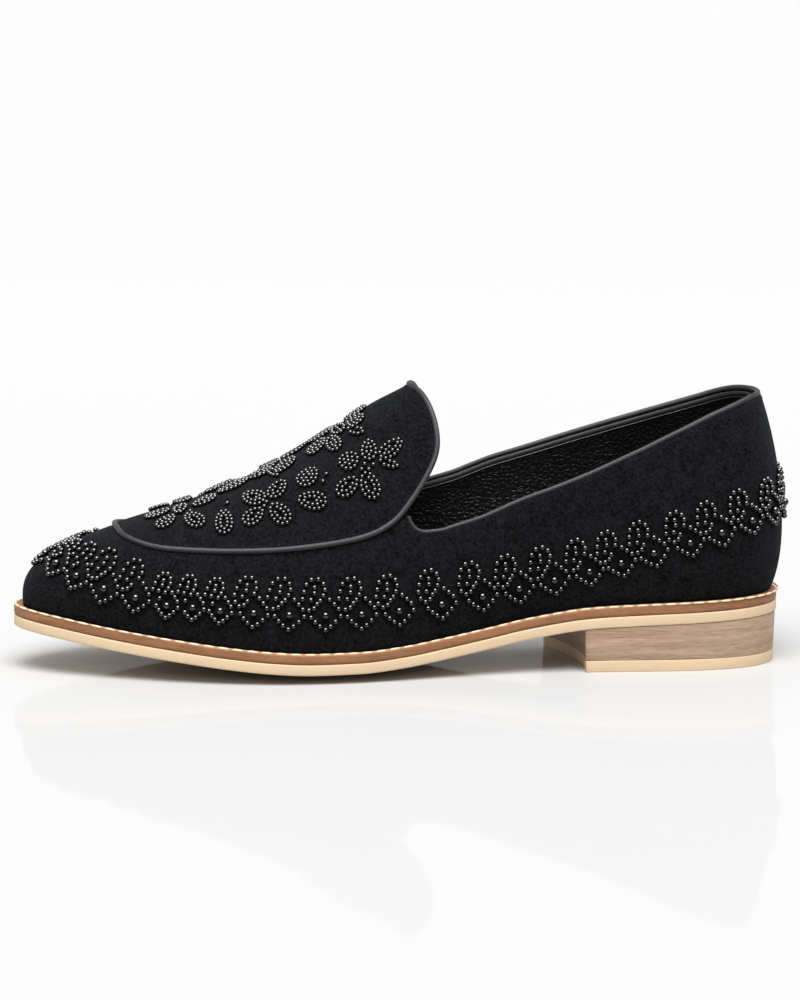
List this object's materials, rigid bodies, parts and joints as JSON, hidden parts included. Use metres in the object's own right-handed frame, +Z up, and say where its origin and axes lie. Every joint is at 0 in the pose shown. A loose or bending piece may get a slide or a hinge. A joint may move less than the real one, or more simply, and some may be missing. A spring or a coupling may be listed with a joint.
{
  "type": "beaded loafer",
  "caption": "Low-heeled suede loafer for the left foot, with a piped apron plug and tongue, a scalloped beaded border, beaded flowers, a stitched welt and a stacked heel.",
  "frame": {"origin": "centre of the shoe's box in plan, on the floor that the sole and the heel rest on", "axes": "-X towards the toe, +X towards the heel, -Y to the outer side, +Y to the inner side, +Z up"},
  "size_m": [0.2662, 0.0858, 0.0967],
  "materials": {
    "suede": "black nubuck, matte nap",
    "piping": "smooth charcoal leather, satin",
    "beads": "round black beads, high gloss",
    "lining": "black lining leather, fine grain",
    "midsole": "brown edge-dressed leather, satin",
    "outsole": "pale sole leather, smooth",
    "heel": "stacked layers with fine grain, satin"
  },
  "bodies": {
    "root": {"outsole": "outsole", "midsole": "midsole", "top_lift": "outsole", "heel_stack": "heel", "insole": "lining", "upper": "suede", "collar_piping": "piping", "plug_piping": "piping", "bead_border": "beads", "flower_toe": "beads", "flower_vamp": "beads", "flower_ridge": "beads", "flower_instep": "beads", "flower_top": "beads", "flower_far_vamp": "beads", "flower_far_instep": "beads", "leaf_low": "beads", "leaf_ridge": "beads", "leaf_middle": "beads", "leaf_side": "beads", "leaf_far_low": "beads", "leaf_far_middle": "beads"}
  },
  "joints": []
}
